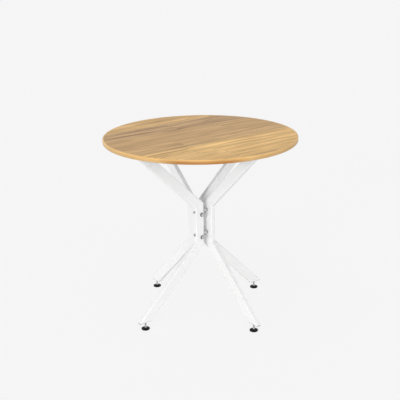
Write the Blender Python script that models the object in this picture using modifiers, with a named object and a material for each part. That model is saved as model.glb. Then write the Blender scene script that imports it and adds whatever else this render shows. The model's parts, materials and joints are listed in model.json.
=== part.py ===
"""Round dining table: a wood-faced top on four bolted K-shaped legs of rectangular steel tube.

Each leg is a vertical post near the table's axis with one arm rising to the top and one arm running
down to a levelling foot. The four posts stand round the axis like the vanes of a pinwheel, held apart by
sleeves. The front left and back right posts are bored through for button-head bolts along their width
and flange bolts across it. The two posts between them carry the threaded inserts that both kinds of bolt
screw into. Metres, +Z up, origin on the floor under the middle of the top.
"""
import math

import bmesh
import bpy
from mathutils import Matrix, Vector

# Top
TOP_DIAMETER = 0.800
TABLE_HEIGHT = 0.770
TOP_THICKNESS = 0.018
BAND_THICKNESS = 0.006
BAND_ROUNDING = 0.004

# Leg tube, as width in the leg's own plane by depth across it
TUBE_WIDTH = 0.040
TUBE_DEPTH = 0.020
TUBE_WALL = 0.0015
TUBE_CORNER = 0.0025

# Leg layout
HUB_STANDOFF = 0.012
HUB_HEIGHT = 0.3955
POST_LENGTH = 0.169
RIM_OVERHANG = 0.083
LEG_END_RADIUS = 0.317

# Mounting plate and its wood screws
PLATE_THICKNESS = 0.003
PLATE_END_MARGIN = 0.024
PLATE_SIDE_MARGIN = 0.020
PLATE_CORNER = 0.007
SCREW_DIAMETER = 0.004
SCREW_HEAD_DIAMETER = 0.008
SCREW_HEAD_HEIGHT = 0.0026
SCREW_POINT = 0.003
SCREW_RECESS_SPAN = 0.0046
SCREW_RECESS_WIDTH = 0.0011
SCREW_RECESS_DEPTH = 0.0014
BOARD_OVER_SCREW = 0.004

# Hub bolts, sleeves and threaded inserts
BOLT_DIAMETER = 0.008
BOLT_HEAD_DIAMETER = 0.014
BOLT_HEAD_HEIGHT = 0.0044
BOLT_SOCKET = 0.005
BOLT_SOCKET_DEPTH = 0.0026
BOLT_TIP = 0.003
BOLT_SPACING = 0.100
BOLT_STAGGER = 0.014
FLANGE_HEAD_ACROSS_FLATS = 0.013
FLANGE_HEAD_HEIGHT = 0.0081
FLANGE_DIAMETER = 0.018
FLANGE_HEIGHT = 0.0018
SLEEVE_DIAMETER = 0.016
INSERT_DIAMETER = 0.011
INSERT_DEPTH = 0.012
INSERT_RIM_DIAMETER = 0.015
INSERT_RIM_HEIGHT = 0.001

# Levelling foot and the plug that carries it
PAD_DIAMETER = 0.035
PAD_FOOT_DIAMETER = 0.032
PAD_HEIGHT = 0.008
PAD_CROWN_DIAMETER = 0.020
PAD_CROWN_DROP = 0.0022
PAD_SOCKET_DEPTH = 0.005
STEM_DIAMETER = 0.008
STEM_SHOWN = 0.0235
STEM_BITE = 0.013
STEM_CHAMFER = 0.001
FOOT_INSET = 0.002
PLUG_FLANGE = 0.0025
PLUG_DEPTH = 0.014

# Gap left between pieces that touch on the real table
CLEARANCE = 0.0003

# Facets round a full turn
TOP_FACETS = 120
PAD_FACETS = 24
BOLT_FACETS = 16
SCREW_FACETS = 10

# Levels and places worked out from the sizes above
TOP_UNDERSIDE = TABLE_HEIGHT - TOP_THICKNESS
PLATE_TOP = TOP_UNDERSIDE - CLEARANCE
PLATE_BOTTOM = PLATE_TOP - PLATE_THICKNESS
ARM_END = PLATE_BOTTOM - CLEARANCE
LEG_END = PAD_HEIGHT + STEM_SHOWN + PLUG_FLANGE + CLEARANCE
LEG_PLANE = HUB_STANDOFF + TUBE_DEPTH / 2
POST_RADIUS = HUB_STANDOFF + TUBE_WIDTH / 2
ARM_TOP_RADIUS = TOP_DIAMETER / 2 - RIM_OVERHANG
POST_TOP = HUB_HEIGHT + POST_LENGTH / 2
POST_BOTTOM = HUB_HEIGHT - POST_LENGTH / 2
FOOT_RADIUS = LEG_END_RADIUS - FOOT_INSET
ARM_LEAN = math.atan2(ARM_TOP_RADIUS - POST_RADIUS, ARM_END - POST_TOP)
LEG_LEAN = math.atan2(LEG_END_RADIUS - POST_RADIUS, POST_BOTTOM - LEG_END)
ARM_CUT_LENGTH = TUBE_WIDTH / math.cos(ARM_LEAN)
LEG_CUT_LENGTH = TUBE_WIDTH / math.cos(LEG_LEAN)
SLEEVE_LENGTH = 2 * HUB_STANDOFF - INSERT_RIM_HEIGHT - 3 * CLEARANCE

# Legs anticlockwise from the front left: the first and third are bored through, the others carry inserts
LEG_NAMES = ("front_left", "front_right", "back_right", "back_left")
FIRST_LEG_ANGLE = math.radians(225)
BOLT_PLACES = (("upper", 0.5), ("lower", -0.5))

WHITE_COAT = ("white_powder_coat", (0.88, 0.88, 0.87), 0.42, 0.0)
OAK_FACE = ("oak_face", (0.58, 0.38, 0.20), 0.5, 0.0)
OAK_BAND = ("oak_edge_band", (0.52, 0.29, 0.13), 0.5, 0.0)
ZINC = ("zinc_plate", (0.66, 0.67, 0.68), 0.32, 1.0)
PLUG_PLASTIC = ("plug_plastic", (0.80, 0.80, 0.79), 0.5, 0.0)
BLACK_PLASTIC = ("black_plastic", (0.02, 0.02, 0.02), 0.55, 0.0)


def new_collection(name):
    collection = bpy.data.collections.new(name)
    bpy.context.scene.collection.children.link(collection)
    return collection


def clear_scene():
    for old in list(bpy.data.objects):
        bpy.data.objects.remove(old, do_unlink=True)


def material(finish):
    name, colour, roughness, metallic = finish
    found = bpy.data.materials.get(name)
    if found:
        return found
    made = bpy.data.materials.new(name)
    made.use_nodes = True
    made.diffuse_color = (*colour, 1)
    shader = made.node_tree.nodes["Principled BSDF"]
    shader.inputs["Base Color"].default_value = (*colour, 1)
    shader.inputs["Roughness"].default_value = roughness
    shader.inputs["Metallic"].default_value = metallic
    return made


def blank(name, mesh):
    """A working object for modelling, kept with the cutters and out of renders."""
    working = bpy.data.objects.new(name, mesh)
    working.hide_render = True
    working.display_type = "WIRE"
    cutters.objects.link(working)
    return working


def finished_mesh(working, smooth_angle=math.radians(35)):
    """The working object's mesh with its modifiers applied; the object and its cutters are cleared."""
    bpy.context.view_layer.update()
    graph = bpy.context.evaluated_depsgraph_get()
    mesh = bpy.data.meshes.new_from_object(working.evaluated_get(graph))
    mesh.name = working.name
    used = [change.object for change in working.modifiers if change.type == "BOOLEAN"]
    for old in used + [working]:
        bpy.data.objects.remove(old, do_unlink=True)
    mesh.shade_smooth()
    mesh.set_sharp_from_angle(angle=smooth_angle)
    return mesh


def boolean(working, cutter, operation="DIFFERENCE"):
    change = working.modifiers.new(cutter.name, "BOOLEAN")
    change.operation = operation
    change.solver = "EXACT"
    change.object = cutter


def placed(name, mesh, finish, parent, location=(0, 0, 0), rotation=(0, 0, 0)):
    """One piece of the table."""
    piece = bpy.data.objects.new(name, mesh)
    piece.location = location
    piece.rotation_euler = rotation
    piece.parent = parent
    if not mesh.materials:
        mesh.materials.append(material(finish))
    table.objects.link(piece)
    return piece


def anchor(name, parent=None, location=(0, 0, 0), turn=0.0):
    empty = bpy.data.objects.new(name, None)
    empty.empty_display_size = 0.03
    empty.location = location
    empty.rotation_euler = (0, 0, turn)
    empty.parent = parent
    table.objects.link(empty)
    return empty


def mesh_from(name, build):
    """A mesh made by the function build on an empty bmesh."""
    shape = bmesh.new()
    build(shape)
    mesh = bpy.data.meshes.new(name)
    shape.to_mesh(mesh)
    shape.free()
    return mesh


def box(name, low, high):
    """A box between two corners."""
    size = Vector(high) - Vector(low)
    middle = (Vector(high) + Vector(low)) / 2
    place = Matrix.Translation(middle) @ Matrix.Diagonal((*size, 1))
    return mesh_from(name, lambda shape: bmesh.ops.create_cube(shape, size=1, matrix=place))


def rods(name, diameter, length, facets, places):
    """Straight rods, each along the Z axis of its matrix and centred on it."""
    def build(shape):
        for place in places:
            bmesh.ops.create_cone(shape, cap_ends=True, segments=facets, radius1=diameter / 2,
                                  radius2=diameter / 2, depth=length, matrix=place)
    return mesh_from(name, build)


def outline_prism(name, points, thickness):
    """A flat outline in XY, filled and thickened evenly about its plane."""
    curve = bpy.data.curves.new(name, "CURVE")
    curve.dimensions = "2D"
    curve.fill_mode = "BOTH"
    curve.extrude = thickness / 2
    spline = curve.splines.new("POLY")
    spline.points.add(len(points) - 1)
    spline.use_cyclic_u = True
    for knot, (x, y) in zip(spline.points, points):
        knot.co = (x, y, 0, 1)
    drawn = bpy.data.objects.new(name, curve)
    cutters.objects.link(drawn)
    bpy.context.view_layer.update()
    graph = bpy.context.evaluated_depsgraph_get()
    mesh = bpy.data.meshes.new_from_object(drawn.evaluated_get(graph))
    bpy.data.objects.remove(drawn, do_unlink=True)
    shape = bmesh.new()
    shape.from_mesh(mesh)
    bmesh.ops.remove_doubles(shape, verts=shape.verts, dist=0.00001)
    bmesh.ops.dissolve_limit(shape, angle_limit=0.001, verts=shape.verts, edges=shape.edges)
    bmesh.ops.recalc_face_normals(shape, faces=shape.faces)
    shape.to_mesh(mesh)
    shape.free()
    return mesh


def turned(name, profile, facets, closed=False):
    """A profile of (radius, height) points, outer side top to bottom, turned about Z."""
    mesh = bpy.data.meshes.new(name)
    count = len(profile)
    edges = [(i, (i + 1) % count) for i in range(count if closed else count - 1)]
    mesh.from_pydata([(radius, 0, height) for radius, height in profile], edges, [])
    working = blank(name, mesh)
    screw = working.modifiers.new("turn", "SCREW")
    screw.steps = facets
    screw.render_steps = facets
    screw.use_merge_vertices = True
    screw.merge_threshold = 0.00001
    return working


def rounded_rectangle(length, width, radius, corner_steps=4):
    """Corner points of a rectangle with round corners, centred on the origin."""
    points = []
    for quarter, (sx, sy) in enumerate(((1, 1), (-1, 1), (-1, -1), (1, -1))):
        for step in range(corner_steps + 1):
            angle = math.pi / 2 * (quarter + step / corner_steps)
            x = sx * (length / 2 - radius) + radius * math.cos(angle)
            y = sy * (width / 2 - radius) + radius * math.sin(angle)
            points.append((x, y))
    return points


def offset_path(points, distance):
    """A run of points shifted sideways, with its corners mitred."""
    shifted = []
    for i, point in enumerate(points):
        before = (point - points[i - 1]).normalized() if i else None
        after = (points[i + 1] - point).normalized() if i + 1 < len(points) else None
        ahead = ((before or after) + (after or before)).normalized()
        spread = distance / ahead.dot(after or before)
        shifted.append(point + spread * Vector((-ahead.y, ahead.x)))
    return shifted


def leg_run():
    """Centre line of a leg in (radius, height), run past both ends so that it can be trimmed level."""
    run = [Vector((ARM_TOP_RADIUS, ARM_END)), Vector((POST_RADIUS, POST_TOP)),
           Vector((POST_RADIUS, POST_BOTTOM)), Vector((LEG_END_RADIUS, LEG_END))]
    run[0] += (run[0] - run[1]).normalized() * TUBE_WIDTH * 1.5
    run[3] += (run[3] - run[2]).normalized() * TUBE_WIDTH * 1.5
    return run


def leg_prism(name, inset):
    """The leg's bent bar standing in its own plane, smaller than the tube by inset on every side."""
    run = leg_run()
    half_width = TUBE_WIDTH / 2 - inset
    edge = offset_path(run, half_width) + offset_path(run, -half_width)[::-1]
    mesh = outline_prism(name, [tuple(point) for point in edge], TUBE_DEPTH - 2 * inset)
    mesh.transform(Matrix.Translation((0, LEG_PLANE, 0)) @ Matrix.Rotation(math.pi / 2, 4, "X"))
    return mesh


def level_slab(name, low, high):
    """A slab between two heights, wide enough to trim any piece of a leg."""
    return box(name, (-TOP_DIAMETER, -TOP_DIAMETER, low), (TOP_DIAMETER, TOP_DIAMETER, high))


def bolt_heights(leg_index):
    """Heights of a leg's own two bolts: neighbouring legs are staggered so that crossing bolts pass."""
    stagger = BOLT_STAGGER / 2 if leg_index % 2 == 0 else -BOLT_STAGGER / 2
    return [HUB_HEIGHT + stagger + share * BOLT_SPACING for _, share in BOLT_PLACES]


def leg_mesh(kind):
    """Mitred tube, trimmed level at both ends: kind 0 is bored right through, kind 1 for inserts only."""
    leg = blank(f"leg_{kind}", leg_prism(f"leg_{kind}", 0))
    corner = leg.modifiers.new("tube_corners", "BEVEL")
    corner.width = TUBE_CORNER
    corner.segments = 2
    corner.limit_method = "ANGLE"
    corner.angle_limit = math.radians(70)
    boolean(leg, blank("level_ends", level_slab("level_ends", LEG_END, ARM_END)), "INTERSECT")
    boolean(leg, blank("tube_hollow", leg_prism("tube_hollow", TUBE_WALL)))
    along = Matrix.Rotation(math.pi / 2, 4, "Y")
    across = Matrix.Rotation(math.pi / 2, 4, "X")
    diameter, length = (BOLT_DIAMETER, 1.5 * TUBE_WIDTH) if kind == 0 else (INSERT_DIAMETER, TUBE_DEPTH)
    end, side = (POST_RADIUS, LEG_PLANE) if kind == 0 else (HUB_STANDOFF, HUB_STANDOFF)
    places = [Matrix.Translation((end, LEG_PLANE, z)) @ along for z in bolt_heights(kind)]
    places += [Matrix.Translation((LEG_PLANE, side, z)) @ across for z in bolt_heights(kind + 1)]
    holes = rods("bolt_holes", diameter + 2 * CLEARANCE, length, BOLT_FACETS, places)
    boolean(leg, blank("bolt_holes", holes))
    return finished_mesh(leg)


def plate_screw_places():
    """Screw places on a plate, from the middle of the arm's end: one inboard, one on each side."""
    inboard = -(ARM_CUT_LENGTH + PLATE_END_MARGIN) / 2
    aside = (TUBE_DEPTH + PLATE_SIDE_MARGIN) / 2
    outboard = ARM_CUT_LENGTH / 4
    return [(inboard, 0), (outboard, aside), (outboard, -aside)]


def plate_mesh():
    length = ARM_CUT_LENGTH + 2 * PLATE_END_MARGIN
    width = TUBE_DEPTH + 2 * PLATE_SIDE_MARGIN
    outline = rounded_rectangle(length, width, PLATE_CORNER)
    plate = blank("mounting_plate", outline_prism("mounting_plate", outline, PLATE_THICKNESS))
    places = [Matrix.Translation((x, y, 0)) for x, y in plate_screw_places()]
    holes = rods("screw_holes", SCREW_DIAMETER + 2 * CLEARANCE, 2 * PLATE_THICKNESS, SCREW_FACETS, places)
    boolean(plate, blank("screw_holes", holes))
    return finished_mesh(plate)


def screw_mesh():
    """Pan-head wood screw, point up, with its head's seat at height 0 and a cross recess below."""
    bite = PLATE_THICKNESS + 2 * CLEARANCE + TOP_THICKNESS - BOARD_OVER_SCREW - CLEARANCE
    head, shank = SCREW_HEAD_DIAMETER / 2, SCREW_DIAMETER / 2
    profile = [(0, bite), (shank, bite - SCREW_POINT), (shank, 0), (head, 0),
               (head, -SCREW_HEAD_HEIGHT * 0.45), (head * 0.72, -SCREW_HEAD_HEIGHT * 0.9),
               (head * 0.35, -SCREW_HEAD_HEIGHT), (0, -SCREW_HEAD_HEIGHT)]
    screw = turned("plate_screw", profile, SCREW_FACETS)
    floor = -SCREW_HEAD_HEIGHT + SCREW_RECESS_DEPTH
    span, width = SCREW_RECESS_SPAN / 2, SCREW_RECESS_WIDTH / 2
    for name, x, y in (("recess_one_way", span, width), ("recess_other_way", width, span)):
        slot = box(name, (-x, -y, -2 * SCREW_HEAD_HEIGHT), (x, y, floor))
        boolean(screw, blank(name, slot))
    return finished_mesh(screw)


def shank_profile(grip):
    """Profile of a bolt's shank: from its head's seat through the grip, the gap and the insert."""
    length = grip + 2 * HUB_STANDOFF + INSERT_DEPTH + BOLT_TIP
    shank = BOLT_DIAMETER / 2
    return [(shank, 0), (shank, STEM_CHAMFER - length), (shank - STEM_CHAMFER, -length), (0, -length)]


def button_bolt_mesh():
    """Button-head bolt with a hexagon socket, head up, with its head's seat at height 0."""
    head = BOLT_HEAD_DIAMETER / 2
    dome = [(head * math.sin(angle), BOLT_HEAD_HEIGHT * math.cos(angle))
            for angle in (math.radians(degrees) for degrees in (35, 55, 72, 90))]
    profile = [(0, dome[0][1])] + dome + shank_profile(TUBE_WIDTH)
    bolt = turned("button_bolt", profile, BOLT_FACETS)
    socket_depth = Matrix.Translation((0, 0, dome[0][1]))
    socket = rods("socket", BOLT_SOCKET / math.cos(math.pi / 6), 2 * BOLT_SOCKET_DEPTH, 6, [socket_depth])
    boolean(bolt, blank("socket", socket))
    return finished_mesh(bolt)


def flange_bolt_mesh():
    """Hexagon flange bolt, head up, with its flange's seat at height 0."""
    flange = FLANGE_DIAMETER / 2
    corner = FLANGE_HEAD_ACROSS_FLATS / 2 / math.cos(math.pi / 6)
    washer = [(0, FLANGE_HEIGHT), (corner * 0.95, FLANGE_HEIGHT), (flange, FLANGE_HEIGHT / 2), (flange, 0)]
    bolt = turned("flange_bolt", washer + shank_profile(TUBE_DEPTH), BOLT_FACETS)
    hexagon_height = FLANGE_HEAD_HEIGHT - FLANGE_HEIGHT / 2
    middle = Matrix.Translation((0, 0, FLANGE_HEAD_HEIGHT - hexagon_height / 2))
    boolean(bolt, blank("hexagon", rods("hexagon", 2 * corner, hexagon_height, 6, [middle])), "UNION")
    return finished_mesh(bolt)


def insert_mesh():
    """Threaded insert: a thin rim above its seat at height 0 and a bored body below it, in the tube."""
    bore = BOLT_DIAMETER / 2 + CLEARANCE
    body, rim = INSERT_DIAMETER / 2, INSERT_RIM_DIAMETER / 2
    ring = [(bore, INSERT_RIM_HEIGHT), (rim, INSERT_RIM_HEIGHT), (rim, 0), (body, 0), (body, -INSERT_DEPTH),
            (bore, -INSERT_DEPTH)]
    return finished_mesh(turned("hub_insert", ring, BOLT_FACETS, closed=True))


def sleeve_mesh():
    """Spacer sleeve hanging below the leg on its bolt head's side, whose face is at height 0."""
    outer, inner = SLEEVE_DIAMETER / 2, BOLT_DIAMETER / 2 + CLEARANCE
    ring = [(inner, 0), (outer, 0), (outer, -SLEEVE_LENGTH), (inner, -SLEEVE_LENGTH)]
    return finished_mesh(turned("hub_spacer", ring, BOLT_FACETS, closed=True))


def plug_mesh():
    """Flange under the leg's level end and a slanted body inside the tube, bored for the foot's stem."""
    flange_outline = rounded_rectangle(LEG_CUT_LENGTH, TUBE_DEPTH, TUBE_CORNER)
    flange = outline_prism("end_plug", flange_outline, PLUG_FLANGE)
    flange_middle = LEG_END - CLEARANCE - PLUG_FLANGE / 2
    flange.transform(Matrix.Translation((LEG_END_RADIUS, LEG_PLANE, flange_middle)))
    plug = blank("end_plug", flange)
    body = blank("plug_body", leg_prism("plug_body", TUBE_WALL + CLEARANCE))
    boolean(body, blank("plug_length", level_slab("plug_length", flange_middle, LEG_END + PLUG_DEPTH)),
            "INTERSECT")
    boolean(plug, blank("plug_body", finished_mesh(body)), "UNION")
    centre = Matrix.Translation((FOOT_RADIUS, LEG_PLANE, LEG_END))
    bore = rods("plug_bore", STEM_DIAMETER + 2 * CLEARANCE, 4 * PLUG_DEPTH, BOLT_FACETS, [centre])
    boolean(plug, blank("plug_bore", bore))
    return finished_mesh(plug)


def stem_mesh():
    """Foot stem from the bottom of the pad's socket up into the plug."""
    low = PAD_HEIGHT - PAD_SOCKET_DEPTH + CLEARANCE
    high = LEG_END + STEM_BITE
    radius = STEM_DIAMETER / 2
    profile = [(0, high), (radius - STEM_CHAMFER, high), (radius, high - STEM_CHAMFER), (radius, low), (0, low)]
    return finished_mesh(turned("foot_stem", profile, BOLT_FACETS))


def pad_mesh():
    """Moulded foot pad: straight lower wall, sloping crown and a blind socket for the stem."""
    socket = STEM_DIAMETER / 2 + CLEARANCE
    rim, sole, crown = PAD_DIAMETER / 2, PAD_FOOT_DIAMETER / 2, PAD_CROWN_DIAMETER / 2
    shoulder = PAD_HEIGHT - PAD_CROWN_DROP
    profile = [(0, PAD_HEIGHT - PAD_SOCKET_DEPTH), (socket, PAD_HEIGHT - PAD_SOCKET_DEPTH),
               (socket, PAD_HEIGHT), (crown, PAD_HEIGHT), (rim, shoulder),
               (rim, rim - sole), (sole, 0), (0, 0)]
    return finished_mesh(turned("foot_pad", profile, PAD_FACETS))


def make_top():
    """Round board with blind pilot holes under it, and the band round its rim."""
    radius = TOP_DIAMETER / 2
    board_radius = radius - BAND_THICKNESS - CLEARANCE
    middle = Matrix.Translation((0, 0, TABLE_HEIGHT - TOP_THICKNESS / 2))
    board = blank("board", rods("table_top_board", 2 * board_radius, TOP_THICKNESS, TOP_FACETS, [middle]))
    places = []
    for index in range(len(LEG_NAMES)):
        turn = Matrix.Rotation(leg_angle(index), 4, "Z")
        for x, y in plate_screw_places():
            spot = Matrix.Translation((ARM_TOP_RADIUS + x, LEG_PLANE + y, TOP_UNDERSIDE))
            places.append(turn @ spot)
    depth = TOP_THICKNESS - BOARD_OVER_SCREW
    pilots = rods("pilot_holes", SCREW_DIAMETER + 2 * CLEARANCE, 2 * depth, SCREW_FACETS, places)
    boolean(board, blank("pilot_holes", pilots))
    placed("table_top_board", finished_mesh(board), OAK_FACE, None)
    inside = radius - BAND_THICKNESS
    rounding = [(math.sin(angle), math.cos(angle)) for angle in (0, math.pi / 4, math.pi / 2)]
    upper = [(radius - BAND_ROUNDING * (1 - out), TABLE_HEIGHT - BAND_ROUNDING * (1 - up))
             for out, up in rounding]
    lower = [(radius - BAND_ROUNDING * (1 - out), TOP_UNDERSIDE + BAND_ROUNDING * (1 - up))
             for out, up in reversed(rounding)]
    ring = [(inside, TABLE_HEIGHT)] + upper + lower + [(inside, TOP_UNDERSIDE)]
    band = turned("band", ring, TOP_FACETS, closed=True)
    placed("table_top_edge_band", finished_mesh(band), OAK_BAND, None)


def leg_angle(index):
    return FIRST_LEG_ANGLE + index * math.pi / 2


def make_leg_station(index, name, meshes):
    """One leg with its plate, screws, plug and levelling foot, in the leg's own frame, and its hub bolts.

    The bolts' heads are on this leg's outer end, or for a leg with inserts on the far side of the next leg.
    """
    station = anchor(f"{name}_station", turn=leg_angle(index))
    placed(f"{name}_leg", meshes["leg"][index % 2], WHITE_COAT, station)
    plate_middle = (ARM_TOP_RADIUS, LEG_PLANE, PLATE_TOP - PLATE_THICKNESS / 2)
    placed(f"{name}_mounting_plate", meshes["plate"], WHITE_COAT, station, plate_middle)
    for number, (x, y) in enumerate(plate_screw_places(), 1):
        seat = (ARM_TOP_RADIUS + x, LEG_PLANE + y, PLATE_BOTTOM - CLEARANCE)
        placed(f"{name}_plate_screw_{number}", meshes["screw"], ZINC, station, seat)
    side = 1 if index % 2 == 0 else -1
    head_turn = (0, side * math.pi / 2, 0)
    head_seat = HUB_STANDOFF + (TUBE_WIDTH if side == 1 else TUBE_DEPTH) + CLEARANCE
    seats = {"bolt": head_seat, "spacer": HUB_STANDOFF - CLEARANCE, "insert": CLEARANCE - HUB_STANDOFF}
    for (place, _), z in zip(BOLT_PLACES, bolt_heights(index)):
        for kind, seat in seats.items():
            mesh = meshes[kind][index % 2] if kind == "bolt" else meshes[kind]
            placed(f"{name}_hub_{kind}_{place}", mesh, ZINC, station, (side * seat, LEG_PLANE, z), head_turn)
    placed(f"{name}_end_plug", meshes["plug"], PLUG_PLASTIC, station)
    foot_axis = anchor(f"{name}_foot_axis", station, (FOOT_RADIUS, LEG_PLANE, 0))
    placed(f"{name}_foot_stem", meshes["stem"], ZINC, foot_axis)
    placed(f"{name}_foot_pad", meshes["pad"], BLACK_PLASTIC, foot_axis)


clear_scene()
table = new_collection("round_dining_table")
cutters = new_collection("cutters")
make_top()
shared = {"leg": [leg_mesh(0), leg_mesh(1)], "plate": plate_mesh(), "screw": screw_mesh(),
          "bolt": [button_bolt_mesh(), flange_bolt_mesh()], "spacer": sleeve_mesh(), "insert": insert_mesh(),
          "plug": plug_mesh(), "stem": stem_mesh(), "pad": pad_mesh()}
for leg_index, leg_name in enumerate(LEG_NAMES):
    make_leg_station(leg_index, leg_name, shared)
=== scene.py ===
"""Looks of the round dining table: wood-faced top, white tube legs, zinc fastenings and levelling feet."""
import json
import math

import bmesh
import bpy
from mathutils import Matrix, Vector


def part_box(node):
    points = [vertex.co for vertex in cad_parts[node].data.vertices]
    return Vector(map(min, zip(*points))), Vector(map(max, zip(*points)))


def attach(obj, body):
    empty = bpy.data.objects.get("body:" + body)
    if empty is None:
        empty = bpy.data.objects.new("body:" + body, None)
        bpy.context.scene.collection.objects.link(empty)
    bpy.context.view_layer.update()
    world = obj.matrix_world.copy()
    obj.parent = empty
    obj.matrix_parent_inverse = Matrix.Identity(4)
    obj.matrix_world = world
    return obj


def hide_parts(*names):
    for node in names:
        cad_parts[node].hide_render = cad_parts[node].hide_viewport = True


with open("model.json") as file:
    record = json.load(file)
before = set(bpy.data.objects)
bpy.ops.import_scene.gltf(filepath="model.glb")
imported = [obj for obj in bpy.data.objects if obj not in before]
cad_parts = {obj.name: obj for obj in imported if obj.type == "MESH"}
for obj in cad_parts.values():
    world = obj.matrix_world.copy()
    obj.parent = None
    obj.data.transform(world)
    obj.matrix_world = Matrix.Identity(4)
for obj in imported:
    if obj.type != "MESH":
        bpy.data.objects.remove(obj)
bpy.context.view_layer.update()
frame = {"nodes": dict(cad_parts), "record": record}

# Levels and places read from the frame, in metres
TOP_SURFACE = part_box("table_top_board")[1].z
TOP_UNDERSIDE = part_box("table_top_board")[0].z
TOP_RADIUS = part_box("table_top_edge_band")[1].x
PLATE_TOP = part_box("front_left_mounting_plate")[1].z
PLATE_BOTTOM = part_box("front_left_mounting_plate")[0].z
ARM_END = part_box("front_left_leg")[1].z
LEG_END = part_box("front_left_leg")[0].z
PLUG_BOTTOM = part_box("front_left_end_plug")[0].z
PLUG_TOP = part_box("front_left_end_plug")[1].z
STEM_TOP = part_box("front_left_foot_stem")[1].z
STEM_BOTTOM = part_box("front_left_foot_stem")[0].z
PAD_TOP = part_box("front_left_foot_pad")[1].z

# Edge band round the board
BAND_THICKNESS = 0.006
BAND_ROUNDING = 0.004

# Leg in its own frame: X out from the table's axis, Y across the leg, Z up
TUBE_WIDTH = 0.040
TUBE_DEPTH = 0.020
TUBE_WALL = 0.0015
TUBE_CORNER = 0.0025
HUB_STANDOFF = 0.012
HUB_HEIGHT = 0.3955
POST_LENGTH = 0.169
ARM_TOP_RADIUS = 0.317
LEG_END_RADIUS = 0.317
LEG_PLANE = HUB_STANDOFF + TUBE_DEPTH / 2
POST_RADIUS = HUB_STANDOFF + TUBE_WIDTH / 2
LEG_RUN = [Vector((ARM_TOP_RADIUS, ARM_END)), Vector((POST_RADIUS, HUB_HEIGHT + POST_LENGTH / 2)),
           Vector((POST_RADIUS, HUB_HEIGHT - POST_LENGTH / 2)), Vector((LEG_END_RADIUS, LEG_END))]
ARM_LEAN = math.atan2(LEG_RUN[0].x - LEG_RUN[1].x, LEG_RUN[0].y - LEG_RUN[1].y)
LEG_LEAN = math.atan2(LEG_RUN[3].x - LEG_RUN[2].x, LEG_RUN[2].y - LEG_RUN[3].y)
ARM_CUT_LENGTH = TUBE_WIDTH / math.cos(ARM_LEAN)
LEG_CUT_LENGTH = TUBE_WIDTH / math.cos(LEG_LEAN)

# Ground weld seams at the bends and fillet welds under the plates
SEAM_REACH = 0.0024
SEAM_HEIGHT = 0.0003
FILLET = 0.0032

# Mounting plate and wood screws
PLATE_END_MARGIN = 0.024
PLATE_SIDE_MARGIN = 0.020
PLATE_CORNER = 0.007
PLATE_EDGE = 0.0005
SCREW_RADIUS = 0.002
SCREW_HEAD_RADIUS = 0.004
SCREW_HEAD_HEIGHT = 0.0026
SCREW_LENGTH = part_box("front_left_plate_screw_1")[1].z - PLATE_BOTTOM

# Hub bolts, sleeves and threaded inserts
BOLT_RADIUS = 0.004
BOLT_HEAD_RADIUS = 0.007
BOLT_HEAD_HEIGHT = 0.0044
BOLT_SOCKET = 0.005
BOLT_SOCKET_DEPTH = 0.0026
BOLT_TIP = 0.003
BOLT_THREAD_LENGTH = 0.022
FLANGE_HEAD_ACROSS_FLATS = 0.013
FLANGE_HEAD_HEIGHT = 0.0081
FLANGE_RADIUS = 0.009
FLANGE_HEIGHT = 0.0018
SLEEVE_RADIUS = 0.008
INSERT_RADIUS = 0.0055
INSERT_DEPTH = 0.012
INSERT_RIM_RADIUS = 0.0075
INSERT_RIM_HEIGHT = 0.001
THREAD_PITCH = 0.00125
THREAD_DEPTH = 0.0007
FIT = 0.0003
SLEEVE_END = INSERT_RIM_HEIGHT + 3 * FIT - 2 * HUB_STANDOFF

# Levelling foot
PAD_RADIUS = 0.0175
PAD_SOLE_RADIUS = 0.016
PAD_CROWN_RADIUS = 0.010
PAD_SOCKET_DEPTH = 0.005

# Direction of each leg, in degrees anticlockwise from +X
LEG_TURNS = {"front_left": 225, "front_right": 315, "back_right": 45, "back_left": 135}

# Legs bored through for the bolts; the two between them carry the threaded inserts
BORED_LEGS = ("front_left", "back_right")

# Facets round a full turn
TOP_FACETS = 256
ROUND_FACETS = 48

# Camera, as fitted to the rim of the top, the legs and the feet
VIEW_TURN = math.radians(7.567)
VIEW_DISTANCE = 3.398
VIEW_HEIGHT = 1.571
VIEW_YAW = math.radians(-0.083)
VIEW_PITCH = math.radians(17.634)
VIEW_ROLL = math.radians(-0.798)
VIEW_LENS = 76.41

# Light
PAPER_WHITE = 0.941
SKY_STRENGTH = 0.46
FLOOR_SHADE_SHARE = 0.10
FLOOR_BOUNCE = 0.84

# Edge band: direction of its painted shade, deepest on the stretch turned this far from the front, and
# where its ends meet along the rim
BAND_SHADE_TURN = math.radians(10)
BAND_JOINT = 1.05

# Face planks: direction of the grain, width, place of one edge, length, and tone of each row from the
# front; the row tones are partly the planks' own colour and partly painted light, with the front rows
# lighter and warmer
GRAIN_TURN = math.radians(45)
PLANK_WIDTH = 0.127
PLANK_EDGE = 0.007
PLANK_LENGTH = 0.62
FIRST_ROW = -4
ROW_TONES_AND_SHADE = (0.80, 0.84, 0.92, 0.18, 0.24, 0.12, 0.54, 0.60)


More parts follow.
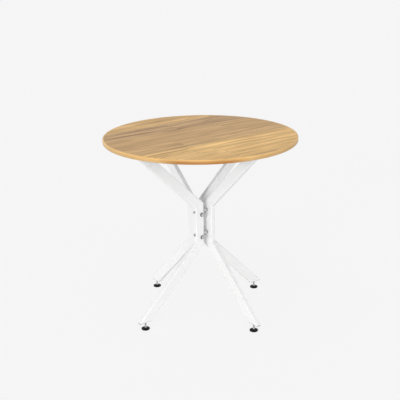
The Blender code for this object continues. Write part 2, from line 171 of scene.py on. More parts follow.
class Shade:
    """A socket in a finish. Arithmetic on shades adds Math nodes; node() adds any other node."""

    def __init__(self, tree, socket=None):
        self.tree = tree
        self.socket = socket

    def node(self, kind, settings=None, sockets=None, output=0):
        made = self.tree.nodes.new(kind)
        for name, value in (settings or {}).items():
            if name == "stops":
                self.set_stops(made.color_ramp, value)
            elif name == "interpolation":
                made.color_ramp.interpolation = value
            else:
                setattr(made, name, value)
        for name, value in (sockets or {}).items():
            if isinstance(value, Shade):
                self.tree.links.new(value.socket, made.inputs[name])
            else:
                made.inputs[name].default_value = value
        return Shade(self.tree, made.outputs[output] if made.outputs else None)

    @staticmethod
    def set_stops(ramp, stops):
        while len(ramp.elements) < len(stops):
            ramp.elements.new(1.0)
        for element, (position, colour) in zip(ramp.elements, stops):
            element.position = position
            element.color = (*colour, 1)

    def output(self, name):
        """Another output of the node that this shade comes from."""
        return Shade(self.tree, self.socket.node.outputs[name])

    def math(self, operation, *values):
        """A Math node with this shade as its first value."""
        return self.node("ShaderNodeMath", {"operation": operation}, dict(enumerate((self, *values))))

    def __add__(self, other):
        return self.math("ADD", other)

    def __sub__(self, other):
        return self.math("SUBTRACT", other)

    def __rsub__(self, other):
        return self.math("MULTIPLY", -1.0).math("ADD", other)

    def __mul__(self, other):
        return self.math("MULTIPLY", other)

    def __truediv__(self, other):
        return self.math("DIVIDE", other)


def new_finish(name):
    """A new material: itself, its shader node and a shade to build from."""
    made = bpy.data.materials.new(name)
    made.use_nodes = True
    shader = made.node_tree.nodes["Principled BSDF"]
    return made, shader, Shade(made.node_tree)


def feed(shader, **values):
    """Links shades to the shader's named sockets; plain numbers are set on the sockets."""
    for name, value in values.items():
        socket = shader.inputs[name.replace("_", " ")]
        if isinstance(value, Shade):
            value.tree.links.new(value.socket, socket)
        else:
            socket.default_value = value


def spot_on(shade):
    """Position on the piece, in its own metres."""
    return shade.node("ShaderNodeTexCoord", output="Object")


def axes(vector):
    """X, Y and Z of a vector."""
    x = vector.node("ShaderNodeSeparateXYZ", None, {0: vector}, "X")
    return x, x.output("Y"), x.output("Z")


def joined(x, y, z):
    """A vector of three values, each a shade or a number."""
    shade = next(value for value in (x, y, z) if isinstance(value, Shade))
    return shade.node("ShaderNodeCombineXYZ", None, {"X": x, "Y": y, "Z": z})


def noise(vector, scale, detail=2.0, roughness=0.5, distortion=0.0):
    """Soft noise between 0 and 1."""
    return vector.node("ShaderNodeTexNoise", None, {"Vector": vector, "Scale": scale, "Detail": detail,
                                                    "Roughness": roughness, "Distortion": distortion})


def chance(vector):
    """An even random value for each whole-number vector."""
    return vector.node("ShaderNodeTexWhiteNoise", {"noise_dimensions": "3D"}, {"Vector": vector}, "Value")


def blend(factor, first, second, kind="MIX"):
    """Mix of two colours, each a shade or an (r, g, b)."""
    sockets = {0: factor}
    for index, colour in ((6, first), (7, second)):
        sockets[index] = colour if isinstance(colour, Shade) else (*colour, 1)
    shade = next(value for value in (factor, first, second) if isinstance(value, Shade))
    return shade.node("ShaderNodeMix", {"data_type": "RGBA", "blend_type": kind}, sockets, 2)


def rescale(value, low, high, to_low=0.0, to_high=1.0):
    """A value taken from one range to another and held at its ends."""
    return value.node("ShaderNodeMapRange", {"clamp": True},
                      {0: value, 1: low, 2: high, 3: to_low, 4: to_high})


def level_at(value, levels):
    """The level that stands at a whole-numbered place in a row of them."""
    stops = [(index / len(levels), (level, level, level)) for index, level in enumerate(levels)]
    place = (value + 0.5) / len(levels)
    return value.node("ShaderNodeValToRGB", {"stops": stops, "interpolation": "CONSTANT"}, {"Fac": place})


def bump(height, strength, distance):
    """Normals tilted by a height in the finish."""
    sockets = {"Height": height, "Strength": strength, "Distance": distance}
    return height.node("ShaderNodeBump", None, sockets)


def oak_face():
    """Rows of oak planks with staggered ends under a satin lacquer, on a plain grey backing sheet."""
    made, shader, shade = new_finish("oak_face")
    spot = spot_on(shade)
    x, y, z = axes(spot)
    along = x * math.cos(GRAIN_TURN) + y * math.sin(GRAIN_TURN)
    across = y * math.cos(GRAIN_TURN) - x * math.sin(GRAIN_TURN)
    rows = (across - PLANK_EDGE) / PLANK_WIDTH
    row = rows.math("FLOOR")
    runs = along / PLANK_LENGTH + chance(joined(row, 7.0, 0.0))
    plank = runs.math("FLOOR")
    own = chance(joined(row, plank, 3.0))
    drift = own * 40.0
    # Tone of the plank, partly its own colour and partly painted light by row, and the figure of its grain
    # from broad bands down to fibres
    tone_and_shade = level_at(row - FIRST_ROW, ROW_TONES_AND_SHADE) + (own - 0.5) * 0.25
    bands = noise(joined(along * 2.4 + drift, across * 48.0, drift), 1.0, 3.0, 0.6, 0.7)
    streaks = noise(joined(along * 5.0 + drift, across * 100.0, drift), 1.0, 3.0, 0.6, 0.3)
    fibres = noise(joined(along * 22.0, across * 700.0, drift), 1.0, 2.0, 0.6)
    pores = noise(joined(along * 60.0, across * 1500.0, drift), 1.0, 2.0, 0.5)
    clouds = noise(joined(along * 5.0, across * 9.0, drift), 1.0, 2.0, 0.5)
    veins = noise(joined(along * 1.8 + drift, across * 95.0, drift + 9.0), 1.0, 2.0, 0.5, 0.4)
    calm = noise(joined(along * 2.2 + drift, across * 13.0, drift + 4.0), 1.0, 2.0)
    grain = rescale(bands * 0.40 + streaks * 0.40 + fibres * 0.10 + clouds * 0.10, 0.395, 0.605)
    grain = (grain - 0.5) * rescale(calm, 0.38, 0.62, 1.35, 0.40) + 0.5
    wood = blend(tone_and_shade, (0.468, 0.283, 0.125), (0.801, 0.497, 0.179))
    wood = blend(1.0, wood, blend(grain, (0.58, 0.54, 0.48), (1.41, 1.43, 1.39)), "MULTIPLY")
    wood = blend(rescale(veins, 0.58, 0.70) * 0.55, wood, (0.32, 0.185, 0.072))
    wood = blend(rescale(pores, 0.60, 0.72) * 0.30, wood, (0.22, 0.125, 0.052))
    # Joints: dark lines round each plank, and a pale streak along the far edge of some
    side = ((rows - row - 0.5).math("ABSOLUTE") - 0.5) * -PLANK_WIDTH
    end = ((runs - plank - 0.5).math("ABSOLUTE") - 0.5) * -PLANK_LENGTH
    pale_edge = rescale((1 - (rows - row)) * PLANK_WIDTH, 0.004, 0.007, 1.0, 0.0) * rescale(own, 0.55, 0.45)
    wood = blend(pale_edge * 0.55, wood, (0.86, 0.62, 0.29))
    seam = rescale(side.math("MINIMUM", end), 0.0002, 0.0010, 1.0, 0.0)
    wood = blend(seam * 0.5, wood, (0.17, 0.095, 0.040))
    upper = rescale(z, TOP_UNDERSIDE + 0.0005, TOP_UNDERSIDE + 0.001)
    backing = blend(noise(spot, 260.0, 3.0), (0.30, 0.295, 0.29), (0.38, 0.375, 0.37))
    feed(shader, Base_Color=blend(upper, backing, wood), Specular_IOR_Level=0.3)
    feed(shader, Roughness=rescale(grain, 0.2, 0.8, 0.56, 0.46))
    feed(shader, Normal=bump(fibres * 0.6 + pores * 0.4 - seam * 0.5, 0.10, 0.0004))
    return made


def oak_band():
    """Rounded edge band in a warmer oak, its grain running round the rim, with painted light making it
    paler towards where it rolls over and painted shade on the stretch facing the front.
    """
    made, shader, shade = new_finish("oak_edge_band")
    x, y, z = axes(spot_on(shade))
    run = y.math("ARCTAN2", x) * TOP_RADIUS
    streaks = noise(joined(x * 9.0, y * 9.0, z * 420.0), 1.0, 3.0, 0.6, 0.3)
    fibres = noise(joined(x * 40.0, y * 40.0, z * 1500.0), 1.0, 2.0, 0.6)
    patches = noise(joined(x * 7.0, y * 7.0, z * 30.0), 1.0, 2.0)
    grain = rescale(streaks * 0.5 + fibres * 0.2 + patches * 0.3, 0.34, 0.66)
    # Painted shade: the band's side darkens on the stretch that faces the front
    facing = (x * math.sin(BAND_SHADE_TURN) - y * math.cos(BAND_SHADE_TURN)) / TOP_RADIUS
    front_shade = rescale(facing, 0.90, 0.97)
    side = blend(front_shade, (0.635, 0.400, 0.169), (0.43, 0.195, 0.053))
    # Painted light: the band pales towards its top, where it rolls over
    top_light = rescale(z, TOP_SURFACE - 0.009, TOP_SURFACE - 0.001)
    wood = blend(top_light, side, (0.76, 0.467, 0.169))
    wood = blend(1.0, wood, blend(grain, (0.80, 0.77, 0.72), (1.20, 1.22, 1.24)), "MULTIPLY")
    seam = rescale((run - BAND_JOINT).math("ABSOLUTE"), 0.0001, 0.0005)
    feed(shader, Base_Color=blend(seam, (0.20, 0.10, 0.04), wood), Specular_IOR_Level=0.45)
    feed(shader, Roughness=rescale(grain, 0.2, 0.8, 0.46, 0.36))
    feed(shader, Normal=bump(streaks * 0.5 + fibres * 0.5, 0.08, 0.0003))
    return made


def powder_coat():
    """White powder coat with its fine orange-peel skin."""
    made, shader, shade = new_finish("white_powder_coat")
    spot = spot_on(shade)
    peel = noise(spot, 900.0, 2.0, 0.5)
    drift = noise(spot, 14.0, 2.0)
    feed(shader, Base_Color=blend(drift, (0.880, 0.880, 0.880), (0.900, 0.900, 0.897)))
    feed(shader, Roughness=rescale(drift, 0.3, 0.7, 0.38, 0.48), Specular_IOR_Level=0.42)
    feed(shader, Normal=bump(peel, 0.10, 0.0002))
    return made


def socket_shade(x, y, z):
    """1 inside the hexagon socket of a button-head bolt, where shade is painted into the zinc."""
    radius = (x * x + y * y).math("SQRT")
    return rescale(radius, BOLT_SOCKET * 0.52, BOLT_SOCKET * 0.62, 1.0, 0.0) * rescale(z, 0.0, 0.0005)


def flange_shade(x, y, z):
    """1 in the crease between a flange bolt's hexagon and its flange, and under the flange's lip, where
    shade is painted into the zinc.
    """
    crease = rescale((z - FLANGE_HEIGHT).math("ABSOLUTE"), 0.0004, 0.0012, 1.0, 0.0)
    lip = rescale(z, 0.0002, 0.0006, 1.0, 0.0)
    return crease.math("MAXIMUM", lip)


def sleeve_end_shade(x, y, z):
    """1 at both ends of a spacer sleeve, where it meets the tubes and shade is painted into the zinc."""
    end = (z - SLEEVE_END / 2).math("ABSOLUTE")
    return rescale(end, -SLEEVE_END / 2 - 0.004, -SLEEVE_END / 2 - 0.001)


def zinc_plate(name="zinc_plate", painted_shade=None):
    """Bright zinc plating with faint clouds and fine turning marks, with painted shade, near black, where a
    mask is given.
    """
    made, shader, shade = new_finish(name)
    spot = spot_on(shade)
    clouds = noise(spot, 160.0, 3.0)
    x, y, z = axes(spot)
    marks = noise(joined(x, y, z * 12.0), 900.0, 2.0)
    colour = blend(clouds, (0.50, 0.51, 0.52), (0.70, 0.70, 0.69))
    # Painted shade: recesses, creases and sleeve ends darkened nearly to black
    if painted_shade:
        colour = blend(painted_shade(x, y, z) * 0.9, colour, (0.020, 0.020, 0.022))
    feed(shader, Base_Color=colour, Metallic=1.0)
    feed(shader, Roughness=rescale(clouds * 0.6 + marks * 0.4, 0.3, 0.7, 0.22, 0.40))
    feed(shader, Normal=bump(marks, 0.06, 0.0001))
    return made


def plug_plastic():
    """Pale moulded plastic of the end plugs, dark at the outer tip."""
    made, shader, shade = new_finish("plug_plastic")
    spot = spot_on(shade)
    x, y, z = axes(spot)
    clouds = noise(spot, 60.0, 2.0)
    pale = blend(clouds, (0.66, 0.66, 0.65), (0.74, 0.74, 0.73))
    # The plug darkens to near black over its outer tip
    tip = rescale(x + clouds * 0.003, LEG_END_RADIUS + LEG_CUT_LENGTH / 2 - 0.004,
                  LEG_END_RADIUS + LEG_CUT_LENGTH / 2)
    feed(shader, Base_Color=blend(tip * 0.9, pale, (0.10, 0.10, 0.10)))
    feed(shader, Roughness=rescale(clouds, 0.3, 0.7, 0.45, 0.58))
    feed(shader, Normal=bump(noise(spot, 1400.0, 2.0), 0.12, 0.0001))
    return made


def black_plastic():
    """Black moulded plastic of the foot pads, scuffed paler towards the sole."""
    made, shader, shade = new_finish("black_plastic")
    spot = spot_on(shade)
    x, y, z = axes(spot)
    scuffs = noise(spot, 500.0, 4.0, 0.65) * rescale(z, 0.0, 0.004, 1.0, 0.15)
    colour = blend(rescale(scuffs, 0.35, 0.75), (0.004, 0.004, 0.004), (0.030, 0.029, 0.028))
    feed(shader, Base_Color=colour, Specular_IOR_Level=0.15)
    feed(shader, Roughness=rescale(scuffs, 0.2, 0.7, 0.42, 0.66))
    feed(shader, Normal=bump(noise(spot, 1600.0, 2.0), 0.15, 0.0001))
    return made


def piece(name, mesh, slot, body, stands_for=(), at=None):
    """A shown piece of the table, riding on a body and standing for its CAD nodes."""
    if not mesh.materials:
        mesh.materials.append(finishes[slot])
    made = bpy.data.objects.new(name, mesh)
    bpy.context.scene.collection.objects.link(made)
    if at is not None:
        made.matrix_world = at
    even = made.modifiers.new("even_faces", "WEIGHTED_NORMAL")
    even.keep_sharp = True
    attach(made, body)
    if stands_for:
        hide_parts(*stands_for)
    return made


def finished(name, shape, smooth_angle=40.0):
    """Mesh of a bmesh, smooth but for its sharp edges."""
    bmesh.ops.recalc_face_normals(shape, faces=shape.faces)
    mesh = bpy.data.meshes.new(name)
    shape.to_mesh(mesh)
    shape.free()
    mesh.shade_smooth()
    mesh.set_sharp_from_angle(angle=math.radians(smooth_angle))
    return mesh


def skinned(name, rings, ends="capped", smooth_angle=40.0):
    """Rings of points joined by quads: capped at both ends, or closed from the last ring to the first.

    A ring of one point is the tip of a fan.
    """
    shape = bmesh.new()
    placed = [[shape.verts.new(point) for point in ring] for ring in rings]
    count = max(len(ring) for ring in placed)
    pairs = list(zip(placed, placed[1:]))
    if ends == "closed":
        pairs.append((placed[-1], placed[0]))
    for first, second in pairs:
        for step in range(count):
            following = (step + 1) % count
            corners = [first[step % len(first)], second[step % len(second)],
                       second[following % len(second)], first[following % len(first)]]
            corners = list(dict.fromkeys(corners))
            if len(corners) > 2:
                shape.faces.new(corners)
    if ends == "capped":
        for ring in (placed[0], placed[-1]):
            if len(ring) > 2:
                shape.faces.new(ring)
    return finished(name, shape, smooth_angle)


def turned(name, profile, facets, ends="capped", smooth_angle=40.0):
    """A profile turned about Z: points are (radius, height), or functions of the angle that give them."""
    rings = []
    for point in profile:
        ring = []
        for step in range(facets):
            angle = 2 * math.pi * step / facets
            radius, height = point(angle) if callable(point) else point
            ring.append(Vector((radius * math.cos(angle), radius * math.sin(angle), height)))
            if radius == 0:
                break
        rings.append(ring)
    return skinned(name, rings, ends, smooth_angle)


def quarter(x, z, radius, start, steps=5):
    """Points of a quarter round about (x, z), from start degrees, clockwise."""
    points = []
    for step in range(steps + 1):
        angle = math.radians(start - 90.0 * step / steps)
        points.append((x + radius * math.cos(angle), z + radius * math.sin(angle)))
    return points


def hexagon(across_flats, height):
    """Profile point on the outline of a hexagon."""
    return lambda angle: (across_flats / 2 / math.cos(angle % (math.pi / 3) - math.pi / 6), height)


def cross(reach, half_width, height):
    """Profile point on the outline of a cross recess."""
    def point(angle):
        run, rise = abs(math.cos(angle)) + 1e-9, abs(math.sin(angle)) + 1e-9
        arms = (min(reach / run, half_width / rise), min(half_width / run, reach / rise))
        return max(arms), height
    return point


def threaded(radius, low, high):
    """Profile points of a screw thread, from high down to low."""
    count = round((high - low) / THREAD_PITCH * 6)
    points = []
    for step in range(count + 1):
        height = high + (low - high) * step / count
        points.append(lambda angle, height=height: (radius - THREAD_DEPTH * abs(
            2 * ((height / THREAD_PITCH - angle / (2 * math.pi)) % 1) - 1), height))
    return points


def rounded_rectangle(length, width, radius, steps=5):
    """Points of a rectangle with round corners, centred on the origin."""
    points = []
    for turn, (sx, sy) in enumerate(((1, 1), (-1, 1), (-1, -1), (1, -1))):
        for step in range(steps + 1):
            angle = math.pi / 2 * (turn + step / steps)
            points.append((sx * (length / 2 - radius) + radius * math.cos(angle),
                           sy * (width / 2 - radius) + radius * math.sin(angle)))
    return points


def slab_rings(length, width, radius, low, high, edge, middle=(0, 0)):
    """Rings of a flat slab with rounded corners and eased edges."""
    eased = [(1 - math.cos(turn), 1 - math.sin(turn)) for turn in (0, math.pi / 4, math.pi / 2)]
    levels = [(edge * inset, low + edge * rise) for rise, inset in eased]
    levels += [(edge * inset, high - edge * rise) for rise, inset in reversed(eased)]
    rings = []
    for inset, height in levels:
        outline = rounded_rectangle(length - 2 * inset, width - 2 * inset, radius - inset)
        rings.append([Vector((middle[0] + x, middle[1] + y, height)) for x, y in outline])
    return rings


def cut(mesh, tool, smooth_angle=40.0):
    """The mesh with a tool's shape cut out of it."""
    working = bpy.data.objects.new(mesh.name, mesh)
    cutter = bpy.data.objects.new("cutter", tool)
    for shape in (working, cutter):
        bpy.context.scene.collection.objects.link(shape)
    change = working.modifiers.new("cut", "BOOLEAN")
    change.solver = "EXACT"
    change.object = cutter
    bpy.context.view_layer.update()
    made = bpy.data.meshes.new_from_object(working.evaluated_get(bpy.context.evaluated_depsgraph_get()))
    made.name = mesh.name
    for shape in (working, cutter):
        bpy.data.objects.remove(shape, do_unlink=True)
    made.shade_smooth()
    made.set_sharp_from_angle(angle=math.radians(smooth_angle))
    return made


def make_top():
    """Round board, and the rounded band round its rim."""
    board = TOP_RADIUS - BAND_THICKNESS
    profile = [(0, TOP_SURFACE), (board, TOP_SURFACE), (board, TOP_UNDERSIDE), (0, TOP_UNDERSIDE)]
    piece("table_top", turned("table_top", profile, TOP_FACETS, "capped", 30.0), "oak_face", "frame",
          ["table_top_board"])
    nose = TOP_RADIUS - BAND_ROUNDING
    ring = [(board, TOP_SURFACE)]
    ring += quarter(nose, TOP_SURFACE - BAND_ROUNDING, BAND_ROUNDING, 90)
    ring += quarter(nose, TOP_UNDERSIDE + BAND_ROUNDING, BAND_ROUNDING, 0)
    ring += [(board, TOP_UNDERSIDE)]
    piece("edge_band", turned("edge_band", ring, TOP_FACETS, "closed"), "oak_edge_band", "frame",
          ["table_top_edge_band"])


def offset_path(points, distance):
    """A run of points shifted sideways, with its corners mitred."""
    shifted = []
    for i, point in enumerate(points):
        before = (point - points[i - 1]).normalized() if i else None
        after = (points[i + 1] - point).normalized() if i + 1 < len(points) else None
        ahead = ((before or after) + (after or before)).normalized()
        spread = distance / ahead.dot(after or before)
        shifted.append(point + spread * Vector((-ahead.y, ahead.x)))
    return shifted


def tube_section(inset):
    """Tube outline as (in the leg's plane, across it), smaller by inset all round."""
    corner = TUBE_CORNER - min(inset, 0.0012)
    return rounded_rectangle(TUBE_WIDTH - 2 * inset, TUBE_DEPTH - 2 * inset, corner)


def leg_ring(place, inset, shift=0.0):
    """A section of the leg: 0 and 3 are its level ends, 1 and 2 its bends, shifted along the leg."""
    ring = []
    for sideways, across in tube_section(inset):
        line = offset_path(LEG_RUN, sideways)
        if place in (0, 3):
            inner = line[1 if place == 0 else 2]
            slope = line[place] - inner
            point = inner + slope * ((LEG_RUN[place].y - inner.y) / slope.y)
        else:
            towards = line[place + (1 if shift > 0 else -1)] - line[place]
            point = line[place] + towards.normalized() * abs(shift)
        ring.append(Vector((point.x, LEG_PLANE + across, point.y)))
    return ring


def leg_mesh():
    """Mitred tube open at both level ends, with a low ground seam round each bend."""
    seam = [(-1.0, 0.0), (-0.5, 0.75), (0.0, 1.0), (0.5, 0.75), (1.0, 0.0)]
    outer = [leg_ring(0, 0)]
    for bend in (1, 2):
        outer += [leg_ring(bend, -SEAM_HEIGHT * rise, SEAM_REACH * reach) for reach, rise in seam]
    outer.append(leg_ring(3, 0))
    inner = [leg_ring(place, TUBE_WALL) for place in (3, 2, 1, 0)]
    return skinned("tube_leg", outer + inner, "closed", 30.0)


def evenly(outline, spacing):
    """A closed outline walked in even steps."""
    points = []
    for start, stop in zip(outline, outline[1:] + outline[:1]):
        count = max(1, round((stop - start).length / spacing))
        points += [start.lerp(stop, step / count) for step in range(count)]
    return points


def plate_weld_mesh():
    """Fillet weld round the arm's end, under the plate, with slight ripples."""
    outline = evenly(leg_ring(0, 0), 0.0006)
    middle = Vector((ARM_TOP_RADIUS, LEG_PLANE, ARM_END))
    up = Vector((0, 0, 1))
    down = Vector((-math.sin(ARM_LEAN), 0, -math.cos(ARM_LEAN)))
    sections = []
    for i, point in enumerate(outline):
        tangent = outline[(i + 1) % len(outline)] - outline[i - 1]
        out = tangent.cross(up).normalized()
        if out.dot(point - middle) < 0:
            out.negate()
        size = FILLET * (1 + 0.08 * math.sin(i * 0.55))
        top = point + out * size + up * (PLATE_BOTTOM - ARM_END)
        foot = point + down * size
        swell = (top + foot) / 2 + (out - up).normalized() * size * 0.12
        back = point - out * TUBE_WALL / 2
        sections.append([top, swell, foot, back + down * size / 2, back])
    return skinned("plate_weld", sections, "closed")


def plate_mesh():
    """Mounting plate with rounded corners and eased edges."""
    length = ARM_CUT_LENGTH + 2 * PLATE_END_MARGIN
    width = TUBE_DEPTH + 2 * PLATE_SIDE_MARGIN
    rings = slab_rings(length, width, PLATE_CORNER, PLATE_BOTTOM, PLATE_TOP, PLATE_EDGE,
                       (ARM_TOP_RADIUS, LEG_PLANE))
    return skinned("mounting_plate", rings, "capped", 30.0)


def screw_mesh():
    """Pan-head wood screw, point up, with its head's seat at height 0 and a cross recess below."""
    head, low = SCREW_HEAD_RADIUS, -SCREW_HEAD_HEIGHT
    profile = [(0, SCREW_LENGTH), (SCREW_RADIUS, SCREW_LENGTH - 0.003), (SCREW_RADIUS, 0),
               (head - 0.0002, 0)]
    profile += quarter(head - 0.0016, low + 0.0016, 0.0016, 0)
    profile += [cross(0.0022, 0.0005, low), cross(0.0014, 0.0004, low + 0.0014), (0, low + 0.0014)]
    return turned("plate_screw", profile, 2 * ROUND_FACETS)


def shank(grip):
    """Profile of a bolt's shank, threaded at its end: through the grip, the gap and the insert."""
    length = grip + 2 * HUB_STANDOFF + INSERT_DEPTH + BOLT_TIP
    profile = [(BOLT_RADIUS, 0), (BOLT_RADIUS, 0.001 + BOLT_THREAD_LENGTH - length)]
    profile += threaded(BOLT_RADIUS, 0.0008 - length, BOLT_THREAD_LENGTH - length)
    return profile + [(BOLT_RADIUS - 0.001, -length), (0, -length)]


def button_bolt_mesh():
    """Button-head bolt with a hexagon socket, head up, its seat at height 0."""
    flat = BOLT_HEAD_HEIGHT * math.cos(math.radians(35))
    profile = [(0, flat - BOLT_SOCKET_DEPTH), hexagon(BOLT_SOCKET, flat - BOLT_SOCKET_DEPTH),
               hexagon(BOLT_SOCKET, flat - 0.0002), hexagon(BOLT_SOCKET + 0.0004, flat)]
    for degrees in range(35, 91, 5):
        angle = math.radians(degrees)
        profile.append((BOLT_HEAD_RADIUS * math.sin(angle), BOLT_HEAD_HEIGHT * math.cos(angle)))
    mesh = turned("button_bolt", profile + shank(TUBE_WIDTH), ROUND_FACETS)
    mesh.materials.append(zinc_plate("zinc_button_bolt", socket_shade))
    return mesh


def flange_bolt_mesh():
    """Hexagon flange bolt, head up, its flange's seat at height 0 and its upper corners chamfered."""
    face = FLANGE_HEAD_ACROSS_FLATS / 2

    def chamfer(angle):
        radius, _ = hexagon(FLANGE_HEAD_ACROSS_FLATS, 0)(angle)
        return radius, FLANGE_HEAD_HEIGHT - (radius - face * 0.94) * math.tan(math.radians(30))

    profile = [(0, FLANGE_HEAD_HEIGHT), (face * 0.94, FLANGE_HEAD_HEIGHT), chamfer,
               hexagon(FLANGE_HEAD_ACROSS_FLATS, FLANGE_HEIGHT), (FLANGE_RADIUS - 0.0003, 0.0011),
               (FLANGE_RADIUS, 0.0008), (FLANGE_RADIUS, 0.0003), (FLANGE_RADIUS - 0.0003, 0)]
    mesh = turned("flange_bolt", profile + shank(TUBE_DEPTH), ROUND_FACETS, "capped", 30.0)
    mesh.materials.append(zinc_plate("zinc_flange_bolt", flange_shade))
    return mesh


def insert_mesh():
    """Threaded insert: a thin rim above its seat at height 0 and a bored body below it, in the tube."""
    bore, ease = BOLT_RADIUS + FIT, 0.0003
    ring = [(bore, INSERT_RIM_HEIGHT), (INSERT_RIM_RADIUS - ease, INSERT_RIM_HEIGHT),
            (INSERT_RIM_RADIUS, INSERT_RIM_HEIGHT - ease), (INSERT_RIM_RADIUS, 0), (INSERT_RADIUS, 0),
            (INSERT_RADIUS, ease - INSERT_DEPTH), (INSERT_RADIUS - ease, -INSERT_DEPTH),
            (bore, -INSERT_DEPTH)]
    return turned("hub_insert", ring, ROUND_FACETS, "closed", 30.0)


def sleeve_mesh():
    """Spacer sleeve hanging below the leg on its bolt head's side, whose face is at height 0."""
    bore, ease = BOLT_RADIUS + FIT, 0.0004
    ring = [(bore, 0), (SLEEVE_RADIUS - ease, 0), (SLEEVE_RADIUS, -ease),
            (SLEEVE_RADIUS, SLEEVE_END + ease), (SLEEVE_RADIUS - ease, SLEEVE_END), (bore, SLEEVE_END)]
    mesh = turned("hub_spacer", ring, ROUND_FACETS, "closed", 30.0)
    mesh.materials.append(zinc_plate("zinc_sleeve", sleeve_end_shade))
    return mesh


def plug_mesh():
    """End plug: an eased flange under the leg's end and a slanted body in the tube, bored for the stem."""
    rings = slab_rings(LEG_CUT_LENGTH, TUBE_DEPTH, TUBE_CORNER, PLUG_BOTTOM, LEG_END - FIT, 0.0006,
                       (LEG_END_RADIUS, LEG_PLANE))
    inset = 2 * (TUBE_WALL + FIT)
    length = LEG_CUT_LENGTH - inset / math.cos(LEG_LEAN)
    body = rounded_rectangle(length, TUBE_DEPTH - inset, TUBE_CORNER / 2)
    for height in (LEG_END - FIT, PLUG_TOP):
        lean = (height - LEG_END) * math.tan(LEG_LEAN)
        rings.append([Vector((LEG_END_RADIUS - lean + x, LEG_PLANE + y, height)) for x, y in body])
    bore = turned("bore", [(0, PLUG_TOP + 0.01), (BOLT_RADIUS + FIT, PLUG_TOP + 0.01),
                           (BOLT_RADIUS + FIT, PLUG_BOTTOM - 0.01), (0, PLUG_BOTTOM - 0.01)], ROUND_FACETS)
    bore.transform(Matrix.Translation((foot_radius, LEG_PLANE, 0)))
    return cut(skinned("end_plug", rings, "capped", 30.0), bore, 30.0)


def stem_mesh():
    """Threaded foot stem from the bottom of the pad's socket up into the plug."""
    plain = PAD_TOP + 0.0006
    profile = [(0, STEM_TOP), (BOLT_RADIUS - 0.001, STEM_TOP)]
    profile += threaded(BOLT_RADIUS, plain + 0.0004, STEM_TOP - 0.0008)
    profile += [(BOLT_RADIUS, plain), (BOLT_RADIUS, STEM_BOTTOM), (0, STEM_BOTTOM)]
    return turned("foot_stem", profile, ROUND_FACETS)


def pad_mesh():
    """Moulded foot pad: lip round the stem, sloping crown, straight wall over a stepped sole."""
    socket = BOLT_RADIUS + FIT
    profile = [(0, PAD_TOP - PAD_SOCKET_DEPTH), (socket, PAD_TOP - PAD_SOCKET_DEPTH),
               (socket, PAD_TOP - 0.0003), (socket + 0.0004, PAD_TOP), (PAD_CROWN_RADIUS - 0.0008, PAD_TOP),
               (PAD_CROWN_RADIUS, PAD_TOP - 0.0003)]
    profile += quarter(PAD_RADIUS - 0.0014, PAD_TOP - 0.0036, 0.0014, 75, 6)[:-1]
    profile += [(PAD_RADIUS, PAD_TOP - 0.0036), (PAD_RADIUS, 0.0024), (PAD_RADIUS - 0.0003, 0.0022),
                (PAD_RADIUS - 0.0003, 0.0018), (PAD_RADIUS - 0.0001, 0.0016),
                (PAD_SOLE_RADIUS + 0.0004, 0.0003), (PAD_SOLE_RADIUS, 0), (0, 0)]
    return turned("foot_pad", profile, 64, "capped", 50.0)


def middle_of(node):
    """Middle of a CAD node's box."""
    low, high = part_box(node)
    return (low + high) / 2


def make_legs():
    """The four legs with their plates, fastenings, plugs and feet."""
    leg, plate, weld, plug = leg_mesh(), plate_mesh(), plate_weld_mesh(), plug_mesh()
    screw, sleeve, insert = screw_mesh(), sleeve_mesh(), insert_mesh()
    stem, pad = stem_mesh(), pad_mesh()
    button_bolt, flange_bolt = button_bolt_mesh(), flange_bolt_mesh()
    for name, turn in LEG_TURNS.items():
        station = Matrix.Rotation(math.radians(turn), 4, "Z")
        piece(f"{name}_tube_leg", leg, "white_powder_coat", "frame", [f"{name}_leg"], station)
        piece(f"{name}_top_plate", plate, "white_powder_coat", "frame", [f"{name}_mounting_plate"], station)
        piece(f"{name}_plate_weld", weld, "white_powder_coat", "frame", [], station)
        piece(f"{name}_tube_plug", plug, "plug_plastic", "frame", [f"{name}_end_plug"], station)
        for number in (1, 2, 3):
            node = f"{name}_plate_screw_{number}"
            axis = middle_of(node)
            seat = Matrix.Translation((axis.x, axis.y, PLATE_BOTTOM - FIT))
            piece(f"{name}_wood_screw_{number}", screw, "zinc_plate", "frame", [node], seat @ station)
        bored = name in BORED_LEGS
        bolt, grip, side = (button_bolt, TUBE_WIDTH, 1) if bored else (flange_bolt, TUBE_DEPTH, -1)
        head_turn = Matrix.Rotation(side * math.pi / 2, 4, "Y")
        fastenings = (("bolt", bolt, HUB_STANDOFF + grip + FIT), ("spacer", sleeve, HUB_STANDOFF - FIT),
                      ("insert", insert, FIT - HUB_STANDOFF))
        for level in ("upper", "lower"):
            height = middle_of(f"{name}_hub_bolt_{level}").z
            for kind, mesh, reach in fastenings:
                seat = station @ Matrix.Translation((side * reach, LEG_PLANE, height)) @ head_turn
                node = f"{name}_hub_{kind}_{level}"
                piece(f"{name}_{level}_{kind}", mesh, "zinc_plate", "frame", [node], seat)
        axis = middle_of(f"{name}_foot_pad")
        foot = Matrix.Translation((axis.x, axis.y, 0))
        piece(f"{name}_threaded_stem", stem, "zinc_plate", f"{name}_foot", [f"{name}_foot_stem"], foot)
        piece(f"{name}_round_pad", pad, "black_plastic", f"{name}_foot", [f"{name}_foot_pad"], foot)


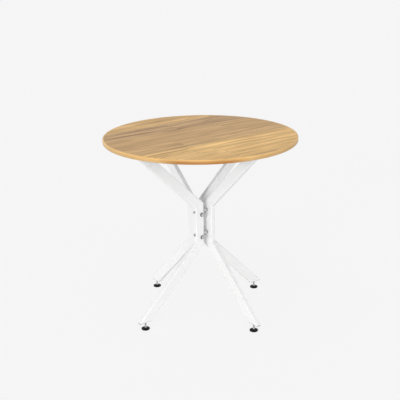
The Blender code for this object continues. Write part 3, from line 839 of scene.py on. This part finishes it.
def make_camera():
    """The photo's view, with the camera turned round the table's axis."""
    forward = Vector((math.sin(VIEW_YAW) * math.cos(VIEW_PITCH), math.cos(VIEW_YAW) * math.cos(VIEW_PITCH),
                      -math.sin(VIEW_PITCH)))
    level = forward.cross(Vector((0, 0, 1))).normalized()
    rise = level.cross(forward)
    right = level * math.cos(VIEW_ROLL) + rise * math.sin(VIEW_ROLL)
    up = rise * math.cos(VIEW_ROLL) - level * math.sin(VIEW_ROLL)
    pose = Matrix((right, up, -forward)).transposed().to_4x4()
    pose.translation = (0, -VIEW_DISTANCE, VIEW_HEIGHT)
    data = bpy.data.cameras.new("camera")
    data.lens = VIEW_LENS
    data.sensor_width = 36.0
    camera = bpy.data.objects.new("camera", data)
    bpy.context.scene.collection.objects.link(camera)
    camera.matrix_world = Matrix.Rotation(VIEW_TURN, 4, "Z") @ pose
    bpy.context.scene.camera = camera


def seen_ray(shade):
    """1 for rays that show the background: from the camera, by reflection or through glass."""
    path = shade.node("ShaderNodeLightPath", output="Is Camera Ray")
    reflected = path.output("Is Glossy Ray").math("MAXIMUM", path.output("Is Transmission Ray"))
    return path.math("MAXIMUM", reflected)


def make_floor():
    """A wide pale floor that keeps a faint share of the table's shadow."""
    made = bpy.data.materials.new("pale_floor")
    made.use_nodes = True
    made.node_tree.nodes.clear()
    shade = Shade(made.node_tree)
    paper = (PAPER_WHITE, PAPER_WHITE, PAPER_WHITE, 1)
    bounce = (FLOOR_BOUNCE, FLOOR_BOUNCE, FLOOR_BOUNCE, 1)
    matt = shade.node("ShaderNodeBsdfDiffuse", None, {"Color": bounce})
    glow = shade.node("ShaderNodeEmission", None, {"Color": paper, "Strength": 1.0})
    share = seen_ray(shade) * (1 - FLOOR_SHADE_SHARE)
    mixed = shade.node("ShaderNodeMixShader", None, {0: share, 1: matt, 2: glow})
    shade.node("ShaderNodeOutputMaterial", None, {"Surface": mixed})
    bpy.ops.mesh.primitive_plane_add(size=120.0)
    floor = bpy.context.object
    floor.name = "floor"
    floor.data.materials.append(made)


def make_world():
    """A white sky, dimmer for the light it gives than for what it shows."""
    world = bpy.data.worlds.new("studio")
    bpy.context.scene.world = world
    world.use_nodes = True
    world.node_tree.nodes.clear()
    shade = Shade(world.node_tree)
    seen = seen_ray(shade)
    strength = seen * PAPER_WHITE + (1 - seen) * SKY_STRENGTH
    sky = shade.node("ShaderNodeBackground", None, {"Color": (1, 1, 1, 1), "Strength": strength})
    shade.node("ShaderNodeOutputWorld", None, {"Surface": sky})


def make_sun(name, lean, turn, spread, strength, glare=True):
    """A wide soft sun: leaning from overhead, turned about Z, spread in degrees, with or without glare."""
    data = bpy.data.lights.new(name, "SUN")
    data.angle = math.radians(spread)
    data.energy = strength
    lamp = bpy.data.objects.new(name, data)
    bpy.context.scene.collection.objects.link(lamp)
    lamp.rotation_euler = (math.radians(lean), 0, math.radians(turn))
    lamp.visible_glossy = glare


def make_studio():
    """Camera, floor, sky and lamps."""
    make_camera()
    make_floor()
    make_world()
    make_sun("overhead_softbox", 15, -25, 60, 0.45)
    make_sun("front_softbox", 80, -22, 18, 1.36, glare=False)
    make_sun("right_softbox", 80, 42, 20, 0.56, glare=False)
    make_sun("high_softbox", 60, 8, 40, 0.40)
    make_sun("back_fill", 78, 190, 60, 0.80, glare=False)
    bpy.context.scene.view_settings.view_transform = "Standard"


def dress_nodes():
    """Gives every CAD node the finish of its slot in the record."""
    for row in frame["record"]["subparts"]:
        node = frame["nodes"][row["node"]]
        node.data.materials.clear()
        node.data.materials.append(finishes[row["material_slot"]])


finishes = {"oak_face": oak_face(), "oak_edge_band": oak_band(), "white_powder_coat": powder_coat(),
            "zinc_plate": zinc_plate(), "plug_plastic": plug_plastic(), "black_plastic": black_plastic()}
leg_frame = Matrix.Rotation(math.radians(-LEG_TURNS["front_left"]), 4, "Z")
foot_radius = (leg_frame @ middle_of("front_left_foot_pad")).x
make_studio()
dress_nodes()
make_top()
make_legs()
